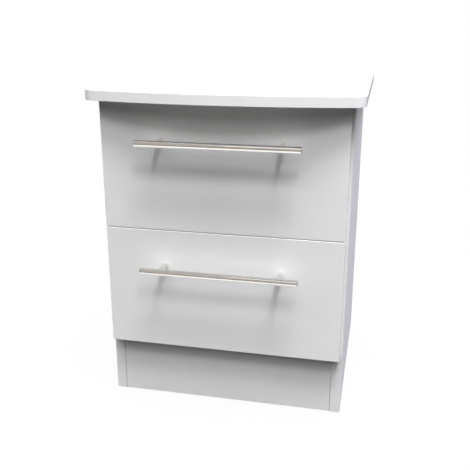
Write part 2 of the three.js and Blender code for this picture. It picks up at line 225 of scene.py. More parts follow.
def zinc_plate():
    """Zinc plate, whose crystals differ a little in tone and gloss."""
    material, tree, shader, place = start_material("zinc_plate")
    shader.inputs["Metallic"].default_value = 1.0
    crystals = add_node(tree, "ShaderNodeTexVoronoi", Scale=1500)
    tree.links.new(place, crystals.inputs["Vector"])
    split = add_node(tree, "ShaderNodeSeparateColor")
    tree.links.new(crystals.outputs["Color"], split.inputs["Color"])
    grey = split.outputs["Red"]
    colour = blend_colours(tree, grey, (0.52, 0.53, 0.55), (0.68, 0.69, 0.70))
    tree.links.new(colour, shader.inputs["Base Color"])
    tree.links.new(between(tree, grey, 0.28, 0.46, 0, 1), shader.inputs["Roughness"])
    bump(tree, shader, noise(tree, place, 1800, 2), 0.03 * MM)
    return material


def powder_coat():
    """White epoxy powder on steel: a fine even orange peel."""
    material, tree, shader, place = start_material("powder_coat")
    peel = noise(tree, place, 700, 2)
    shade = noise(tree, place, 40, 3)
    colour = blend_colours(tree, between(tree, shade, 0, 1), (0.78, 0.78, 0.765), (0.82, 0.82, 0.81))
    tree.links.new(colour, shader.inputs["Base Color"])
    tree.links.new(between(tree, peel, 0.3, 0.42), shader.inputs["Roughness"])
    bump(tree, shader, peel, 0.05 * MM)
    return material


def moulded_plastic(name, low, high, roughness):
    """Injection-moulded plastic with flow marks and a fine spark-eroded surface."""
    material, tree, shader, place = start_material(name)
    flow = noise(tree, place, 130, 3, (1, 0.4, 1))
    tree.links.new(blend_colours(tree, between(tree, flow, 0, 1), low, high), shader.inputs["Base Color"])
    grain = noise(tree, place, 2600, 1)
    tree.links.new(between(tree, grain, roughness - 0.06, roughness + 0.06), shader.inputs["Roughness"])
    bump(tree, shader, grain, 0.02 * MM)
    return material


def clear_rubber():
    """A clear self-adhesive buffer, a little cloudy inside."""
    material = moulded_plastic("clear_rubber", (0.78, 0.80, 0.80), (0.86, 0.87, 0.87), 0.2)
    shader = material.node_tree.nodes["Principled BSDF"]
    shader.inputs["Transmission Weight"].default_value = 0.6
    shader.inputs["IOR"].default_value = 1.45
    return material


GLOSS = gloss_foil()
# The lavender tint in this board colour is painted light: it copies the bluish light that falls on the side
# panels.
BOARD = melamine("white_melamine", (0.81, 0.802, 0.834), (0.824, 0.816, 0.848), 0.36)
EDGING = melamine("white_edging", (0.83, 0.83, 0.838), (0.85, 0.85, 0.855), 0.28)
FOIL = linen_foil()
FIBRE = hardboard()
NICKEL = brushed_metal("brushed_nickel", (0.76, 0.75, 0.725), (0.82, 0.81, 0.785), roughness=0.11,
                       grain=900, stretch=(1, 0.05, 0.05), depth=0.003 * MM)
# Nickel for the bar's ends and chamfers: its dark colour is painted shade, standing in for the dark
# reflections on the ends.
END_NICKEL_PAINTED_SHADE = brushed_metal("end_nickel_painted_shade", (0.36, 0.355, 0.345), (0.42, 0.415, 0.40), roughness=0.3,
                            grain=1500, stretch=(1, 1, 0.1), depth=0.01 * MM)
STEEL = powder_coat()
ZINC = zinc_plate()
NYLON = moulded_plastic("nylon", (0.80, 0.79, 0.75), (0.86, 0.855, 0.82), 0.36)
PLASTIC = moulded_plastic("white_plastic", (0.80, 0.80, 0.80), (0.85, 0.85, 0.85), 0.33)
RUBBER = clear_rubber()


# ---------------------------------------------------------------- mesh helpers

def rounded(points, radii, steps=4):
    """A polygon with each corner replaced by an arc of its own radius, where that isn't 0."""
    made = []
    count = len(points)
    for i, (point, radius) in enumerate(zip(points, radii)):
        here = Vector(point)
        before = (Vector(points[i - 1]) - here).normalized()
        after = (Vector(points[(i + 1) % count]) - here).normalized()
        if radius == 0:
            made.append(here)
            continue
        half = before.angle(after) / 2
        middle = here + (before + after).normalized() * (radius / math.sin(half))
        first = here + before * (radius / math.tan(half)) - middle
        last = here + after * (radius / math.tan(half)) - middle
        turn = first.angle(last)
        for k in range(steps + 1):
            share = k / steps
            a, b = math.sin((1 - share) * turn), math.sin(share * turn)
            made.append(middle + (first * a + last * b) / math.sin(turn))
    return made


def sheet_section(path, thickness, inner_radius):
    """The section of a bent sheet whose left side follows path, with a radius at each bend."""
    points = [Vector(p) for p in path]
    ways = [(b - a).normalized() for a, b in zip(points, points[1:])]
    offsets, radii = [], [0]
    for before, after in zip(ways, ways[1:]):
        left_turn = before.x * after.y - before.y * after.x > 0
        radii.append(inner_radius if left_turn else inner_radius + thickness)
    radii.append(0)
    for i, point in enumerate(points):
        normals = [Vector((w.y, -w.x)) for w in (ways[max(i - 1, 0)], ways[min(i, len(ways) - 1)])]
        both = (normals[0] + normals[1]).normalized()
        offsets.append(point + both * (thickness / both.dot(normals[0])))
    other = [0] + [2 * inner_radius + thickness - r for r in radii[1:-1]] + [0]
    return rounded(points + offsets[::-1], radii + other[::-1])


def add_prism(bm, section, axis, start, end, material=0):
    """Adds a prism along X, Y or Z; its section is given in the other two axes' order."""
    def corner(point, along):
        values = list(point)
        values.insert("xyz".index(axis), along)
        return bm.verts.new(values)

    rings = [[corner(p, along) for p in section] for along in (start, end)]
    faces = [bm.faces.new(rings[0]), bm.faces.new(rings[1])]
    for i in range(len(section)):
        j = (i + 1) % len(section)
        faces.append(bm.faces.new((rings[0][i], rings[0][j], rings[1][j], rings[1][i])))
    for face in faces:
        face.material_index = material
    bmesh.ops.recalc_face_normals(bm, faces=faces)


def add_box(bm, lo, hi, edge=0.0, segments=2, chosen=None, material=0):
    """Adds a box whose edges, or the chosen ones, are rounded."""
    corners = bmesh.ops.create_cube(bm, size=1)["verts"]
    for v in corners:
        v.co = Vector(lo[i] if v.co[i] < 0 else hi[i] for i in range(3))
    for face in {f for v in corners for f in v.link_faces}:
        face.material_index = material
    edges = [e for e in {e for v in corners for e in v.link_edges} if chosen is None or chosen(e)]
    if edge:
        edges.sort(key=lambda e: [round(x, 6) for v in e.verts for x in v.co])
        bmesh.ops.bevel(bm, geom=edges, offset=edge, segments=segments, profile=0.5, affect="EDGES")


# Turns that point a piece's Z along +X, +Y, -X and -Z.
TO_X = Matrix.Rotation(math.pi / 2, 4, "Y")
TO_Y = Matrix.Rotation(-math.pi / 2, 4, "X")
TO_LEFT = Matrix.Rotation(-math.pi / 2, 4, "Y")
UPSIDE_DOWN = Matrix.Rotation(math.pi, 4, "X")


def sideways(sign):
    """The turn that points a piece's Z to the right for 1, and to the left for -1."""
    return TO_X if sign > 0 else TO_LEFT


def centre_of(node):
    lo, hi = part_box(node)
    return (lo + hi) / 2


def faces_across(lo, hi, sign):
    """X of a piece's face towards the middle of the object, and of the face away from it."""
    return (lo.x, hi.x) if sign > 0 else (hi.x, lo.x)


def lies_on(edge, y):
    """Whether both ends of an edge lie on the plane at y."""
    return all(abs(v.co.y - y) < TOUCHING for v in edge.verts)


def quarter_arc(steps, count):
    """The first angles, as many as count, of a quarter turn in equal steps."""
    return [math.pi / 2 * k / steps for k in range(count)]


def domed(radius, height, rim):
    """The end of a profile that domes over from a rim, which is a share of the height."""
    arc = [(radius * math.cos(t), height * (rim + (1 - rim) * math.sin(t))) for t in quarter_arc(6, 6)]
    return arc + [(0, height)]


def add_turned(bm, profile, place, turn=None, sides=ROUND_SIDES, material=0):
    """Adds a turned solid. Its profile is (radius, height) pairs, from axis to axis or round a bore."""
    matrix = Matrix.Translation(place) @ (turn or Matrix())
    rings = []
    for radius, height in profile:
        count = sides if radius > 0 else 1
        angles = [2 * math.pi * k / sides for k in range(count)]
        rings.append([
            bm.verts.new(matrix @ Vector((radius * math.cos(a), radius * math.sin(a), height)))
            for a in angles
        ])
    faces = []
    pairs = list(zip(rings, rings[1:]))
    if profile[0][0] > 0:
        pairs.append((rings[-1], rings[0]))
    for a, b in pairs:
        for k in range(sides):
            m = (k + 1) % sides
            corners = [a[k % len(a)], a[m % len(a)], b[m % len(b)], b[k % len(b)]]
            unique = list(dict.fromkeys(corners))
            if len(unique) > 2:
                faces.append(bm.faces.new(unique))
    for face in faces:
        face.material_index = material
    bmesh.ops.recalc_face_normals(bm, faces=faces)


def add_rod(bm, radius, length, place, turn=None, sides=ROUND_SIDES):
    add_turned(bm, [(0, 0), (radius, 0), (radius, length), (0, length)], place, turn, sides)


def object_of(name, bm, materials):
    mesh = bpy.data.meshes.new(name)
    bm.to_mesh(mesh)
    bm.free()
    for material in materials:
        mesh.materials.append(material)
    made = bpy.data.objects.new(name, mesh)
    bpy.context.scene.collection.objects.link(made)
    return made


def cut_away(piece, cutters):
    """Cuts the closed bodies in a bmesh out of a piece."""
    tool = object_of(piece.name + "_cutter", cutters, [])
    modifier = piece.modifiers.new("cut", "BOOLEAN")
    modifier.operation = "DIFFERENCE"
    modifier.solver = "EXACT"
    modifier.use_self = True
    modifier.object = tool
    graph = bpy.context.evaluated_depsgraph_get()
    mesh = bpy.data.meshes.new_from_object(piece.evaluated_get(graph), depsgraph=graph)
    piece.modifiers.clear()
    piece.data = mesh
    bpy.data.objects.remove(tool)
    if not mesh.polygons:
        raise ValueError(f"nothing is left of {piece.name} after its cut")


def make_piece(name, bm, body, nodes=(), materials=(BOARD,), cutters=None, angle=SMOOTH_ANGLE):
    """Finishes a bmesh as a piece of the object: cut, shaded, and riding on its body."""
    piece = object_of(name, bm, materials)
    if cutters is not None:
        cut_away(piece, cutters)
    for polygon in piece.data.polygons:
        polygon.use_smooth = True
    piece.data.set_sharp_from_angle(angle=math.radians(angle))
    flats = piece.modifiers.new("flat faces", "WEIGHTED_NORMAL")
    flats.keep_sharp = True
    flats.weight = 80
    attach(piece, body)
    if nodes:
        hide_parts(*nodes)
    return piece


def keep_node(node, material):
    """A CAD node whose shape is right keeps it, and takes a finished material."""
    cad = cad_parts[node]
    cad.data.materials.clear()
    cad.data.materials.append(material)


# ---------------------------------------------------------------- the top

def slab_ring(lo, hi, inset):
    """The top's outline in plan, moved in by inset: a bow, then the four round corners."""
    half, rear, corner = hi.x, hi.y, SLAB["corner"]
    bow = (half ** 2 + SLAB["bow"] ** 2) / (2 * SLAB["bow"])
    bow_y = lo.y + bow
    corner_y = bow_y - math.sqrt((bow - corner) ** 2 - (half - corner) ** 2)
    meet = math.atan2(corner_y - bow_y, half - corner)
    arcs = [
        (0, bow_y, bow, -math.pi - meet, meet, BOW_STEPS),
        (half - corner, corner_y, corner, meet, 0, CORNER_STEPS),
        (half - corner, rear - corner, corner, 0, math.pi / 2, CORNER_STEPS),
        (-half + corner, rear - corner, corner, math.pi / 2, math.pi, CORNER_STEPS),
        (-half + corner, corner_y, corner, math.pi, math.pi - meet, CORNER_STEPS),
    ]
    points = []
    for x, y, radius, start, end, steps in arcs:
        for k in range(steps):
            angle = start + (end - start) * k / steps
            points.append((x + (radius - inset) * math.cos(angle), y + (radius - inset) * math.sin(angle)))
    return points


def make_slab():
    lo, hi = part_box("top_panel")
    edge = SLAB["edge"]
    turns = quarter_arc(5, 6)
    levels = [(edge * (1 - math.sin(t)), lo.z + edge * (1 - math.cos(t))) for t in turns]
    levels += [(edge * (1 - math.sin(t)), hi.z - edge * (1 - math.cos(t))) for t in reversed(turns)]
    bm = bmesh.new()
    rings = [[bm.verts.new((x, y, z)) for x, y in slab_ring(lo, hi, inset)] for inset, z in levels]
    for below, above in zip(rings, rings[1:]):
        for i in range(len(below)):
            j = (i + 1) % len(below)
            bm.faces.new((below[i], below[j], above[j], above[i]))
    bm.faces.new(rings[0][::-1])
    bm.faces.new(rings[-1])
    make_piece("top_slab", bm, CABINET, ["top_panel"], [GLOSS])


# ---------------------------------------------------------------- cabinet boards

def make_banded_board(name, node, band=True):
    """A board with a strip of edging along its front, or a plain one."""
    lo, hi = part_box(node)
    bm = bmesh.new()
    core = lo.copy()
    if band:
        core.y += BANDING
        add_box(bm, lo, (hi.x, core.y, hi.z), BOARD_EDGE, 3, lambda e: lies_on(e, lo.y), 1)
    add_box(bm, core, hi, BOARD_EDGE / 2)
    make_piece(name, bm, CABINET, [node], [BOARD, EDGING])


def make_side_board(side):
    """A side panel with edging in front, a groove for the back, and holes for its glides' nails."""
    lo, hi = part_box(f"side_panel_{side}")
    back_lo, back_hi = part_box("back_panel")
    sign = SIDES[side]
    inner, outer = faces_across(lo, hi, sign)
    deep = inner + sign * GROOVE_DEPTH
    start = lo.y + BANDING
    groove = (back_lo.y - FIT, back_hi.y + FIT)
    corners = [
        (inner, start), (outer, start), (outer, hi.y), (inner, hi.y),
        (inner, groove[1]), (deep, groove[1]), (deep, groove[0]), (inner, groove[0]),
    ]
    radii = [0, 0, BOARD_EDGE, BOARD_EDGE, 0, 0, 0, 0]
    bm = bmesh.new()
    add_prism(bm, rounded(corners, radii), "z", lo.z, hi.z)
    add_box(bm, lo, (hi.x, start, hi.z), BOARD_EDGE, 3, lambda e: lies_on(e, lo.y), 1)
    holes = bmesh.new()
    for end in ("front", "rear"):
        node = f"glide_{end}_{side}"
        glide, nail_end = centre_of(node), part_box(node)[1].z
        add_rod(holes, NAIL["hole"], nail_end + FIT, (glide.x, glide.y, 0), sides=NAIL_HOLE_SIDES)
    make_piece(f"side_board_{side}", bm, CABINET, [f"side_panel_{side}"],
               [BOARD, EDGING], holes)


def make_glide(end, side):
    """A nail-on glide with a domed foot."""
    node = f"glide_{end}_{side}"
    lo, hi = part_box(node)
    middle = (lo + hi) / 2
    radius = (hi.x - lo.x) / 2
    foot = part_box(f"side_panel_{side}")[0].z
    nail = NAIL["radius"]
    dome = [(radius * math.sin(t), foot * GLIDE["dome"] * (1 - math.cos(t))) for t in quarter_arc(6, 7)]
    profile = [dome[0], (radius * GLIDE["flat"], 0)] + dome[1:]
    profile += [(radius, foot), (nail, foot), (nail, hi.z - NAIL["point"]), (0, hi.z)]
    bm = bmesh.new()
    add_turned(bm, profile, (middle.x, middle.y, 0))
    make_piece(f"glide_{end}_{side}_dome", bm, CABINET, [node], [PLASTIC])


def make_back_staples():
    """Wire staples along the bottom of the back, into the rear edge of the base board."""
    lo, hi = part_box("back_panel")
    base_lo, base_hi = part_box("base_panel")
    height = (base_lo.z + base_hi.z) / 2
    half, wire, count, margin = STAPLE["crown"] / 2, STAPLE["wire"], STAPLE["count"], STAPLE["margin"]
    bm = bmesh.new()
    for k in range(count):
        x = lo.x + (hi.x - lo.x) * (k + margin) / (count - 1 + 2 * margin)
        add_box(bm, (x - half, hi.y - STAPLE["sunk"], height - wire), (x + half, hi.y + wire, height + wire),
                STAPLE["edge"])
    make_piece("back_staples", bm, CABINET, (), [ZINC])


def make_cabinet():
    make_slab()
    for side in SIDES:
        make_side_board(side)
        for end in ("front", "rear"):
            make_glide(end, side)
    make_banded_board("base_board", "base_panel")
    make_banded_board("plinth_board", "plinth_panel")
    make_banded_board("front_rail_board", "front_top_rail")
    make_banded_board("rear_rail_board", "rear_top_rail", False)
    keep_node("back_panel", FIBRE)
    make_back_staples()


# ---------------------------------------------------------------- fasteners

def add_cross(bm, place, turn, size, depth):
    """A cutter for a cross recess in a screw's or a cam's face, which points along the turned Z."""
    reach, half = size / 2, size * CROSS_ARM
    section = []
    for quarter in range(4):
        spin = Matrix.Rotation(math.pi / 2 * quarter, 2)
        section += [spin @ Vector(point) for point in ((reach, -half), (reach, half), (half, half))]
    start = len(bm.verts)
    add_prism(bm, section, "z", -depth, size)
    bm.verts.ensure_lookup_table()
    for v in bm.verts[start:]:
        v.co = Matrix.Translation(place) @ turn @ v.co


def pan_head(radius, head, shank_radius, shank):
    """Profile of a screw with its head's underside at height 0 and its shank below."""
    tip = [(0, -shank), (shank_radius * BLUNT_TIP["radius"], -shank),
           (shank_radius, -shank * BLUNT_TIP["start"])]
    return tip + [(shank_radius, 0), (radius, 0)] + domed(radius, head, PAN_HEAD_RIM)


def flat_head(radius, head, shank_radius, shank):
    """Profile of a countersunk screw with its face at height 0."""
    return [(0, -shank), (shank_radius, -shank * SHARP_TIP_START), (shank_radius, -head),
            (radius, -FLAT_HEAD_RIM), (radius, 0), (0, 0)]


def make_screws(name, body, places, turn, profile, recess, face, nodes=()):
    """A group of equal screws. Each has a cross recess of a given width in its face, at height face."""
    bm, cutters = bmesh.new(), bmesh.new()
    for place in places:
        add_turned(bm, profile, place, turn, PIN_SIDES)
        add_cross(cutters, Vector(place) + turn @ Vector((0, 0, face)), turn, recess, recess * CROSS_DEPTH)
    make_piece(name, bm, body, nodes, [ZINC], cutters)


# ---------------------------------------------------------------- runners and rollers

SHEET = 1.25 * MM
BEND = 0.6 * MM                    # inner radius of a bend in the sheet
TRAVEL = 230 * MM
CHANNEL_HEIGHT = 20 * MM
CRIMP_LENGTH = 4 * MM              # a rib pressed up in the channel, which stops the open drawer
CRIMP_HEIGHT = 2 * MM
CRIMP_EDGE = 0.6 * MM
REAR_STOP_EDGE = 0.3 * MM
FOOT = 12 * MM                     # width of the drawer member's foot under the box side
LIP = 4.25 * MM                    # depth of the track's lip
LIP_FROM_WALL = 1.5 * SHEET
TRACK_CUT = {"depth": 6 * MM, "from_web": 0.02 * MM}   # where the track stops and the web goes on
PIN_RADIUS = 2.5 * MM
FRONT_PIN = {"proud": 0.6 * MM, "length": 8.6 * MM}
REAR_PIN = {"proud": 0.3 * MM, "chamfer": 0.3 * MM}
CHANNEL_SCREWS = (40 * MM, 150 * MM, 262 * MM)   # along the member, from its front end
TRACK_SCREWS = (35 * MM, 150 * MM, 265 * MM)     # along the box side, from its front end
CHANNEL_SCREW_SUNK = 0.15 * MM
TRACK_SCREW_SUNK = 0.1 * MM
# Head radius, head height, shank radius and shank length of the screws in each kind of member.
CHANNEL_SCREW = (3.4 * MM, 1.2 * MM, 1.6 * MM, 12 * MM)
TRACK_SCREW = (3.2 * MM, 1.1 * MM, 1.5 * MM, 11 * MM)
ROLLER = {"bore": 2.75 * MM, "hub": 4.6 * MM, "rim": 1.7 * MM, "shoulder": 0.5 * MM, "dish": 0.9 * MM,
          "soft": 0.35 * MM, "crown": 0.06 * MM}


def channel_faces(level, side):
    """X of the channel's outer face, on the side board, and of its roller's face towards the drawer."""
    sign = SIDES[side]
    wall = faces_across(*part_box(f"{level}_cabinet_runner_{side}"), sign)[1]
    inner = faces_across(*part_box(f"{level}_cabinet_roller_{side}"), sign)[0]
    return wall, inner


def make_channel(level, side):
    """A C channel screwed to the side board, whose lower flange starts behind the front roller."""
    node = f"{level}_cabinet_runner_{side}"
    lo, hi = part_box(node)
    sign = SIDES[side]
    wall, inner = channel_faces(level, side)
    bottom = hi.z - CHANNEL_HEIGHT
    path = [(inner + sign * FIT, bottom), (wall, bottom), (wall, hi.z), (inner + sign * 2 * SHEET, hi.z)]
    bm = bmesh.new()
    # The sheet lies inside the path, which runs round the channel's outside.
    add_prism(bm, sheet_section(path[::-sign], SHEET, BEND), "y", lo.y, hi.y)
    flange_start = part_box(f"{level}_cabinet_roller_{side}")[1].y + SHEET
    across = sorted((inner - sign * OVERCUT, wall - sign * SHEET))
    cutters = bmesh.new()
    add_box(cutters, (across[0], lo.y - OVERCUT, bottom - OVERCUT),
            (across[1], flange_start, bottom + SHEET + BEND))
    make_piece(f"{level}_cabinet_channel_{side}", bm, CABINET, [node], [STEEL], cutters)


def make_channel_stops(level, side):
    """The channel's rear end, the crimp that stops the open drawer, and the front roller's riveted pin."""
    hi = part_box(f"{level}_cabinet_runner_{side}")[1]
    sign = SIDES[side]
    wall, inner = channel_faces(level, side)
    bottom = hi.z - CHANNEL_HEIGHT
    across = sorted((inner + sign * SHEET, wall))
    bm = bmesh.new()
    add_box(bm, (across[0], hi.y - SHEET, bottom + SHEET / 2), (across[1], hi.y, hi.z - SHEET / 2),
            REAR_STOP_EDGE)
    rear_roller = f"{level}_drawer_roller_{side}"
    roller_lo, roller_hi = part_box(rear_roller)
    radius = (roller_hi.z - roller_lo.z) / 2
    reach = math.sqrt(radius ** 2 - (radius - CRIMP_HEIGHT) ** 2)
    crimp_end = centre_of(rear_roller).y - TRAVEL - reach - FIT
    add_box(bm, (across[0], crimp_end - CRIMP_LENGTH, bottom + SHEET / 2),
            (across[1], crimp_end, bottom + SHEET + CRIMP_HEIGHT), CRIMP_EDGE, 3)
    roller = centre_of(f"{level}_cabinet_roller_{side}")
    add_rod(bm, PIN_RADIUS, FRONT_PIN["length"], (inner - sign * FRONT_PIN["proud"], roller.y, roller.z),
            sideways(sign), PIN_SIDES)
    make_piece(f"{level}_cabinet_channel_stops_{side}", bm, CABINET, (), [STEEL])


def make_channel_screws(level, side):
    lo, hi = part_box(f"{level}_cabinet_runner_{side}")
    sign = SIDES[side]
    wall_face = channel_faces(level, side)[0] - sign * SHEET
    x, z = wall_face - sign * CHANNEL_SCREW_SUNK, hi.z - CHANNEL_HEIGHT / 2
    places = [(x, lo.y + along, z) for along in CHANNEL_SCREWS]
    make_screws(f"{level}_cabinet_channel_screws_{side}", CABINET, places, sideways(-sign),
                flat_head(*CHANNEL_SCREW), CHANNEL_SCREW[0], 0)


def make_track(level, side):
    """A bent-steel drawer member: a foot under the side, a web, and the lipped track outside it."""
    node = f"{level}_drawer_runner_{side}"
    lo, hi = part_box(node)
    sign = SIDES[side]
    box_face = faces_across(*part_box(f"{level}_drawer_side_{side}"), sign)[1]
    web = box_face + sign * (FIT + SHEET)
    lip = channel_faces(level, side)[0] - sign * LIP_FROM_WALL
    lip_inside, under_track = lip - sign * SHEET, hi.z - SHEET
    path = [(web - sign * FOOT, lo.z), (web, lo.z), (web, under_track), (lip_inside, under_track),
            (lip_inside, hi.z - LIP)]
    bm = bmesh.new()
    add_prism(bm, sheet_section(path[::-sign], SHEET, BEND), "y", lo.y, hi.y)
    # The track stops short of the rear roller, and the web goes on to hold its pin.
    track_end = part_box(f"{level}_drawer_roller_{side}")[0].y - 2 * SHEET
    outside = sorted((web + sign * TRACK_CUT["from_web"], lip + sign * OVERCUT))
    cutters = bmesh.new()
    add_box(cutters, (outside[0], track_end, hi.z - TRACK_CUT["depth"]),
            (outside[1], hi.y + OVERCUT, hi.z + OVERCUT))
    make_piece(f"{level}_drawer_track_{side}", bm, f"{level}_drawer", [node], [STEEL], cutters)


def make_track_pin(level, side):
    """The riveted pin of a rear roller."""
    sign = SIDES[side]
    node = f"{level}_drawer_roller_{side}"
    roller = centre_of(node)
    start = faces_across(*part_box(f"{level}_drawer_side_{side}"), sign)[1] + sign * FIT
    end = faces_across(*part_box(node), sign)[1] + sign * REAR_PIN["proud"]
    length, chamfer = abs(end - start), REAR_PIN["chamfer"]
    profile = [(0, 0), (PIN_RADIUS, 0), (PIN_RADIUS, length - chamfer), (PIN_RADIUS - chamfer, length),
               (0, length)]
    bm = bmesh.new()
    add_turned(bm, profile, (start, roller.y, roller.z), sideways(sign), PIN_SIDES)
    make_piece(f"{level}_drawer_track_pin_{side}", bm, f"{level}_drawer", (), [ZINC])


def make_track_screws(level, side):
    side_lo, side_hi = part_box(f"{level}_drawer_side_{side}")
    x = (side_lo.x + side_hi.x) / 2
    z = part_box(f"{level}_drawer_runner_{side}")[0].z - TRACK_SCREW_SUNK
    places = [(x, side_lo.y + along, z) for along in TRACK_SCREWS]
    make_screws(f"{level}_drawer_track_screws_{side}", f"{level}_drawer", places, UPSIDE_DOWN,
                flat_head(*TRACK_SCREW), TRACK_SCREW[0], 0)


def make_runner(level, side):
    make_channel(level, side)
    make_channel_stops(level, side)
    make_channel_screws(level, side)
    make_track(level, side)
    make_track_pin(level, side)
    make_track_screws(level, side)


def make_roller(level, kind, side):
    """A nylon roller with a crowned rim and a dished web round its hub."""
    node = f"{level}_{kind}_roller_{side}"
    lo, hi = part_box(node)
    middle = centre_of(node)
    radius, width = (hi.z - lo.z) / 2, hi.x - lo.x
    hub, dish, soft = ROLLER["hub"], ROLLER["dish"], ROLLER["soft"]
    rim, shoulder, tread = radius - ROLLER["rim"], radius - ROLLER["shoulder"], radius - ROLLER["crown"]
    web = [(ROLLER["bore"], 0), (hub, 0), (hub + soft, dish), (rim - soft, dish), (rim, 0), (shoulder, 0)]
    crown = [(tread, soft), (radius, width / 2), (tread, width - soft)]
    profile = web + crown + [(r, width - h) for r, h in reversed(web)]
    bm = bmesh.new()
    add_turned(bm, profile, (lo.x, middle.y, middle.z), TO_X, FINE_SIDES)
    make_piece(f"{level}_{kind}_wheel_{side}", bm, node, [node], [NYLON], angle=30)


# ---------------------------------------------------------------- drawers

def make_front(level):
    """A gloss-wrapped drawer front with soft front edges, drilled and slotted behind."""
    node = f"{level}_drawer_front"
    lo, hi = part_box(node)
    bm = bmesh.new()
    add_box(bm, lo, hi)
    # Every edge that touches the front face is wrapped.
    wrapped = [e for e in bm.edges if any(abs(v.co.y - lo.y) < TOUCHING for v in e.verts)]
    bmesh.ops.bevel(bm, geom=wrapped, offset=FRONT_EDGE, segments=6, profile=0.5, affect="EDGES")
    behind = [e for e in bm.edges if lies_on(e, hi.y)]
    bmesh.ops.bevel(bm, geom=behind, offset=BACK_EDGE, segments=2, profile=0.5, affect="EDGES")
    # The back is plain board, and every other face is wrapped.
    for face in bm.faces:
        face.material_index = int(face.normal.y > 0.95)
    holes = bmesh.new()
    for side in SIDES:
        screw = centre_of(f"{level}_handle_screw_{side}")
        add_rod(holes, HANDLE_SCREW["hole"], hi.y - lo.y + 4 * OVERCUT,
                (screw.x, lo.y - 2 * OVERCUT, screw.z), TO_Y, HOLE_SIDES)
        dowel_node = f"{level}_cam_dowel_{side}"
        dowel, dowel_start = centre_of(dowel_node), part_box(dowel_node)[0].y
        add_rod(holes, DOWEL_HOLE["in_front"], DOWEL_HOLE["front_depth"],
                (dowel.x, dowel_start - FIT, dowel.z), TO_Y, HOLE_SIDES)
    base_lo, base_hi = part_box(f"{level}_drawer_base")
    add_box(holes, (base_lo.x - FIT, base_lo.y - FIT, base_lo.z - FIT),
            (base_hi.x + FIT, hi.y + OVERCUT, base_hi.z + FIT))
    make_piece(f"{level}_gloss_front", bm, f"{level}_drawer", [node],
               [GLOSS, BOARD], holes)


def make_box_side(level, side):
    """A foil-wrapped drawer side: soft top edge, slot for the base, pocket and bore for the cam fitting."""
    node = f"{level}_drawer_side_{side}"
    lo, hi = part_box(node)
    base_lo, base_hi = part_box(f"{level}_drawer_base")
    sign = SIDES[side]
    inner, outer = faces_across(lo, hi, sign)
    deep = inner + sign * GROOVE_DEPTH
    slot = (base_lo.z - FIT, base_hi.z + FIT)
    corners = [
        (inner, lo.z), (outer, lo.z), (outer, hi.z), (inner, hi.z),
        (inner, slot[1]), (deep, slot[1]), (deep, slot[0]), (inner, slot[0]),
    ]
    radii = [BOARD_EDGE, BOARD_EDGE, BOX_TOP_EDGE, BOX_TOP_EDGE, 0, 0, 0, 0]
    bm = bmesh.new()
    add_prism(bm, rounded(corners, radii, 6), "y", lo.y, hi.y)
    cam_node = f"{level}_cam_lock_{side}"
    pocket_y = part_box(cam_node)[1].y - CAM["radius"]
    holes = bmesh.new()
    add_rod(holes, CAM_POCKET["radius"], CAM_POCKET["depth"],
            (inner - sign * OVERCUT, pocket_y, centre_of(cam_node).z), sideways(sign), FINE_SIDES)
    dowel = centre_of(f"{level}_cam_dowel_{side}")
    add_rod(holes, DOWEL_HOLE["in_side"], pocket_y - lo.y + OVERCUT, (dowel.x, lo.y - OVERCUT, dowel.z),
            TO_Y, HOLE_SIDES)
    make_piece(f"{level}_box_side_{side}", bm, f"{level}_drawer", [node], [FOIL], holes)


def make_box_back(level):
    node = f"{level}_drawer_back"
    lo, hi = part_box(node)
    corners = [(lo.y, lo.z), (hi.y, lo.z), (hi.y, hi.z), (lo.y, hi.z)]
    radii = [BOARD_EDGE, BOARD_EDGE, BOX_TOP_EDGE, BOX_TOP_EDGE]
    bm = bmesh.new()
    add_prism(bm, rounded(corners, radii, 6), "x", lo.x, hi.x)
    make_piece(f"{level}_box_back", bm, f"{level}_drawer", [node], [FOIL])


def make_cam(level, side):
    """A cam: a die-cast disc with a stepped face, a cross recess in it and a mouth for the dowel."""
    node = f"{level}_cam_lock_{side}"
    lo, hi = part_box(node)
    sign = SIDES[side]
    face, back = faces_across(lo, hi, sign)
    radius, thick, step, chamfer = CAM["radius"], hi.x - lo.x, CAM["face_step"], CAM["chamfer"]
    centre = (face, hi.y - radius, (lo.z + hi.z) / 2)
    profile = [(0, step), (CAM["step_radius"], step), (CAM["rib_radius"], 0), (radius - chamfer, 0),
               (radius, chamfer), (radius, thick - chamfer), (radius - chamfer, thick), (0, thick)]
    bm, cutters = bmesh.new(), bmesh.new()
    add_turned(bm, profile, centre, sideways(sign), FINE_SIDES)
    add_cross(cutters, Vector(centre) + Vector((sign * step, 0, 0)), sideways(-sign), CAM["cross"],
              CAM["cross_depth"])
    axis, mouth = centre_of(f"{level}_cam_dowel_{side}"), CAM["mouth"]
    across = sorted((axis.x - sign * mouth, back + sign * OVERCUT))
    add_box(cutters, (across[0], lo.y - OVERCUT, axis.z - mouth),
            (across[1], centre[1] + CAM["past_centre"], axis.z + mouth))
    make_piece(f"{level}_cam_{side}", bm, f"{level}_drawer", [node], [ZINC], cutters)


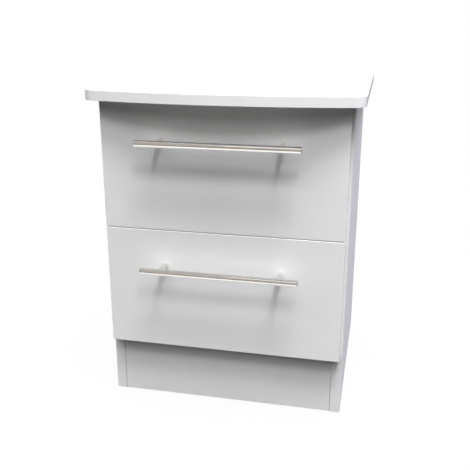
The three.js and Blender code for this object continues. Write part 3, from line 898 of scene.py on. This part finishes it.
def make_handle(level):
    """A round bar on two posts, screwed on from inside the drawer."""
    node = f"{level}_handle_bar"
    lo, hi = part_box(node)
    middle = centre_of(node)
    radius, length, chamfer = (hi.z - lo.z) / 2, hi.x - lo.x, BAR_END["chamfer"]
    step = (radius - BAR_END["step_in"], BAR_END["step_along"])
    end = [(0, 0), (radius - chamfer, 0), step, (radius, chamfer)]
    profile = end + [(r, length - h) for r, h in reversed(end)]
    bm = bmesh.new()
    add_turned(bm, profile, (lo.x, middle.y, middle.z), TO_X, HANDLE_SIDES)
    # The ends and their chamfers take a rougher nickel whose dark colour is painted shade, and the round is
    # brushed.
    for face in bm.faces:
        face.material_index = int(abs(face.normal.x) > 0.3)
    sockets = bmesh.new()
    for side in SIDES:
        post_node = f"{level}_handle_post_{side}"
        post, post_start = centre_of(post_node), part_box(post_node)[0].y
        add_rod(sockets, SPIGOT["hole"], radius, (post.x, post_start - FIT, post.z), TO_Y, HOLE_SIDES)
        make_post(level, side, middle, radius)
    make_piece(f"{level}_pull_bar", bm, f"{level}_drawer", [node],
               [NICKEL, END_NICKEL_PAINTED_SHADE], sockets)
    for side in SIDES:
        make_handle_screw(level, side)


def make_post(level, side, bar, bar_radius):
    """A post whose end is hollowed to sit on the bar, and a spigot that goes into the bar."""
    node = f"{level}_handle_post_{side}"
    lo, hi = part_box(node)
    middle = centre_of(node)
    radius, length = (hi.x - lo.x) / 2, hi.y - bar.y
    profile = [(0, 0), (radius, 0), (radius, length - POST_EDGE), (radius - POST_EDGE, length), (0, length)]
    bm = bmesh.new()
    add_turned(bm, profile, (middle.x, bar.y, middle.z), TO_Y, FINE_SIDES)
    cutters = bmesh.new()
    add_rod(cutters, bar_radius + FIT / 2, 4 * radius, (middle.x - 2 * radius, bar.y, bar.z), TO_X,
            HANDLE_SIDES)
    hole = HANDLE_SCREW["hole_in_post"]
    add_rod(cutters, HANDLE_SCREW["hole"], hole + OVERCUT, (middle.x, hi.y - hole, middle.z),
            TO_Y, HOLE_SIDES)
    make_piece(f"{level}_pull_post_{side}", bm, f"{level}_drawer", [node],
               [NICKEL], cutters)
    spigot = bmesh.new()
    add_rod(spigot, SPIGOT["radius"], bar_radius + OVERCUT - (lo.y - bar.y), (middle.x, lo.y, middle.z),
            TO_Y, HOLE_SIDES)
    make_piece(f"{level}_pull_spigot_{side}", spigot, f"{level}_drawer", (), [NICKEL])


def make_handle_screw(level, side):
    node = f"{level}_handle_screw_{side}"
    lo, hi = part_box(node)
    middle, head = centre_of(node), HANDLE_SCREW["head"]
    place = (middle.x, hi.y - head, middle.z)
    profile = pan_head(HANDLE_SCREW["head_radius"], head, HANDLE_SCREW["radius"], place[1] - lo.y)
    make_screws(f"{level}_pull_screw_{side}", f"{level}_drawer", [place], TO_Y, profile,
                HANDLE_SCREW["cross"], head, [node])


def make_bumper(level, side):
    """A clear stick-on buffer, domed towards the side board."""
    node = f"{level}_bumper_{side}"
    lo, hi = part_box(node)
    middle = centre_of(node)
    radius, thick = (hi.x - lo.x) / 2, hi.y - lo.y
    profile = [(0, 0), (radius, 0)] + domed(radius, thick, BUFFER_RIM)
    bm = bmesh.new()
    add_turned(bm, profile, (middle.x, lo.y, middle.z), TO_Y, BUFFER_SIDES)
    make_piece(f"{level}_buffer_{side}", bm, f"{level}_drawer", [node], [RUBBER])


def make_drawer(level):
    make_front(level)
    make_box_back(level)
    keep_node(f"{level}_drawer_base", FIBRE)
    make_handle(level)
    for side in SIDES:
        make_box_side(level, side)
        make_cam(level, side)
        keep_node(f"{level}_cam_dowel_{side}", ZINC)
        make_bumper(level, side)
        make_runner(level, side)
        for kind in ("cabinet", "drawer"):
            make_roller(level, kind, side)


# ---------------------------------------------------------------- floor, light and camera

def make_floor():
    """A plain white floor. The camera sees it, but it doesn't light the object or show in its gloss."""
    reach, height = 6, -0.2 * MM
    corners = ((-reach, -reach), (reach, -reach), (reach, reach), (-reach, reach))
    bm = bmesh.new()
    bm.faces.new([bm.verts.new((x, y, height)) for x, y in corners])
    material, tree, shader, place = start_material("floor_white")
    colour = blend_colours(tree, noise(tree, place, 2, 2), (0.02, 0.02, 0.02), (0.03, 0.03, 0.03))
    tree.links.new(colour, shader.inputs["Base Color"])
    shader.inputs["Roughness"].default_value = 0.8
    shader.inputs["Specular IOR Level"].default_value = 0.0
    shader.inputs["Emission Color"].default_value = (1, 1, 1, 1)
    shader.inputs["Emission Strength"].default_value = 0.93
    floor = object_of("floor", bm, [material])
    floor.visible_diffuse = False
    floor.visible_glossy = False


def add_sky(tree, height, bands):
    """A background lit in level bands, each with its lower edge from -1 to 1, its strength and its tint."""
    ramp = add_node(tree, "ShaderNodeValToRGB")
    ramp.color_ramp.interpolation = "CONSTANT"
    tree.links.new(between(tree, height, 0, 1, -1, 1), ramp.inputs["Fac"])
    stops = ramp.color_ramp.elements
    stops.remove(stops[1])
    strongest = max(strength for edge, strength, tint in bands)
    for k, (edge, strength, tint) in enumerate(bands):
        stop = stops[0] if k == 0 else stops.new((edge + 1) / 2)
        stop.position = (edge + 1) / 2
        stop.color = [strength / strongest * part for part in tint] + [1]
    sky = add_node(tree, "ShaderNodeBackground", Strength=strongest)
    tree.links.new(ramp.outputs["Color"], sky.inputs["Color"])
    return sky.outputs[0]


def choose_shader(tree, ray, otherwise, chosen):
    mix = add_node(tree, "ShaderNodeMixShader")
    tree.links.new(ray, mix.inputs["Fac"])
    tree.links.new(otherwise, mix.inputs[1])
    tree.links.new(chosen, mix.inputs[2])
    return mix.outputs[0]


WHITE = (1, 1, 1)
CREAM = (1, 0.93, 0.84)
LAVENDER = (0.95, 0.93, 1)
SEEN_SKY = ((-1, 1, WHITE),)
SOFT_SKY = ((-1, 0.2, WHITE), (-0.7, 0, WHITE), (0.43, 1.15, WHITE), (0.75, 4.7, WHITE), (0.85, 0, WHITE),
            (0.92, 17, WHITE), (0.97, 0, WHITE))
MIRRORED_IN_FRONT = ((-1, 1.25, WHITE), (-0.5, 0.5, WHITE), (-0.35, 0.22, WHITE), (-0.1, 0.5, CREAM),
                     (0.95, 0.05, WHITE))
MIRRORED_BEHIND = ((-1, 0.38, LAVENDER), (0, 0.45, WHITE))


def make_world():
    """A studio lit from high up. Gloss reflects cream walls and a pale floor, and the camera sees white."""
    world = bpy.data.worlds.new("studio")
    bpy.context.scene.world = world
    world.use_nodes = True
    tree = world.node_tree
    tree.nodes.clear()
    place = add_node(tree, "ShaderNodeTexCoord").outputs["Generated"]
    split = add_node(tree, "ShaderNodeSeparateXYZ")
    tree.links.new(place, split.inputs["Vector"])
    height = split.outputs["Z"]
    rays = add_node(tree, "ShaderNodeLightPath").outputs
    behind = between(tree, split.outputs["Y"], 0, 1, -0.2, 0.2)
    mirrored = choose_shader(tree, behind, add_sky(tree, height, MIRRORED_IN_FRONT),
                             add_sky(tree, height, MIRRORED_BEHIND))
    lit = choose_shader(tree, rays["Is Glossy Ray"], add_sky(tree, height, SOFT_SKY), mirrored)
    seen = choose_shader(tree, rays["Is Camera Ray"], lit, add_sky(tree, height, SEEN_SKY))
    out = add_node(tree, "ShaderNodeOutputWorld")
    tree.links.new(seen, out.inputs["Surface"])


LIGHT_DISTANCE = 2.0
LIGHT_TARGET = Vector((0, -0.15, 0.28))


def add_softbox(name, azimuth, elevation, size, energy, colour=WHITE, glossy_only=False):
    """A softbox that faces the object. Azimuth 0 is in front and 90 to the right."""
    light = bpy.data.lights.new(name, "AREA")
    light.shape = "RECTANGLE"
    light.size, light.size_y = size
    light.energy = energy
    light.color = colour
    lamp = bpy.data.objects.new(name, light)
    bpy.context.scene.collection.objects.link(lamp)
    a, e = math.radians(azimuth), math.radians(elevation)
    way = Vector((math.sin(a) * math.cos(e), -math.cos(a) * math.cos(e), math.sin(e)))
    lamp.location = LIGHT_TARGET + way * LIGHT_DISTANCE
    lamp.rotation_euler = (-way).to_track_quat("-Z", "Y").to_euler()
    lamp.visible_camera = False
    lamp.visible_diffuse = not glossy_only


def make_lights():
    add_softbox("key", 22, 55, (0.14, 0.45), 9.5)
    add_softbox("middle", 34, 70, (0.2, 0.4), 14)
    add_softbox("right", 56, 70, (0.4, 0.4), 12)
    add_softbox("side", 92, 74, (0.3, 0.4), 20, (0.6, 0.54, 1.0))
    add_softbox("handle highlight", -2, 50, (0.75, 0.3), 1, (1, 0.97, 0.92), glossy_only=True)


# The lens and sensor are in millimetres, and the turns down and to the left in radians.
CAMERA = {"lens": 51.79, "sensor": 36, "place": (0.2251, -1.1055, 0.6119), "down": 0.3207, "left": 0.2155}


def make_camera():
    """The camera, in front of the object and a little to its right, looking down and to the left."""
    data = bpy.data.cameras.new("camera")
    data.sensor_width = CAMERA["sensor"]
    data.lens = CAMERA["lens"]
    data.clip_start = 0.01
    camera = bpy.data.objects.new("camera", data)
    bpy.context.scene.collection.objects.link(camera)
    camera.location = CAMERA["place"]
    camera.rotation_euler = (math.pi / 2 - CAMERA["down"], 0, CAMERA["left"])
    bpy.context.scene.camera = camera


make_camera()
make_cabinet()
for level in LEVELS:
    make_drawer(level)
make_floor()
make_world()
make_lights()
bpy.context.scene.view_settings.view_transform = "Standard"
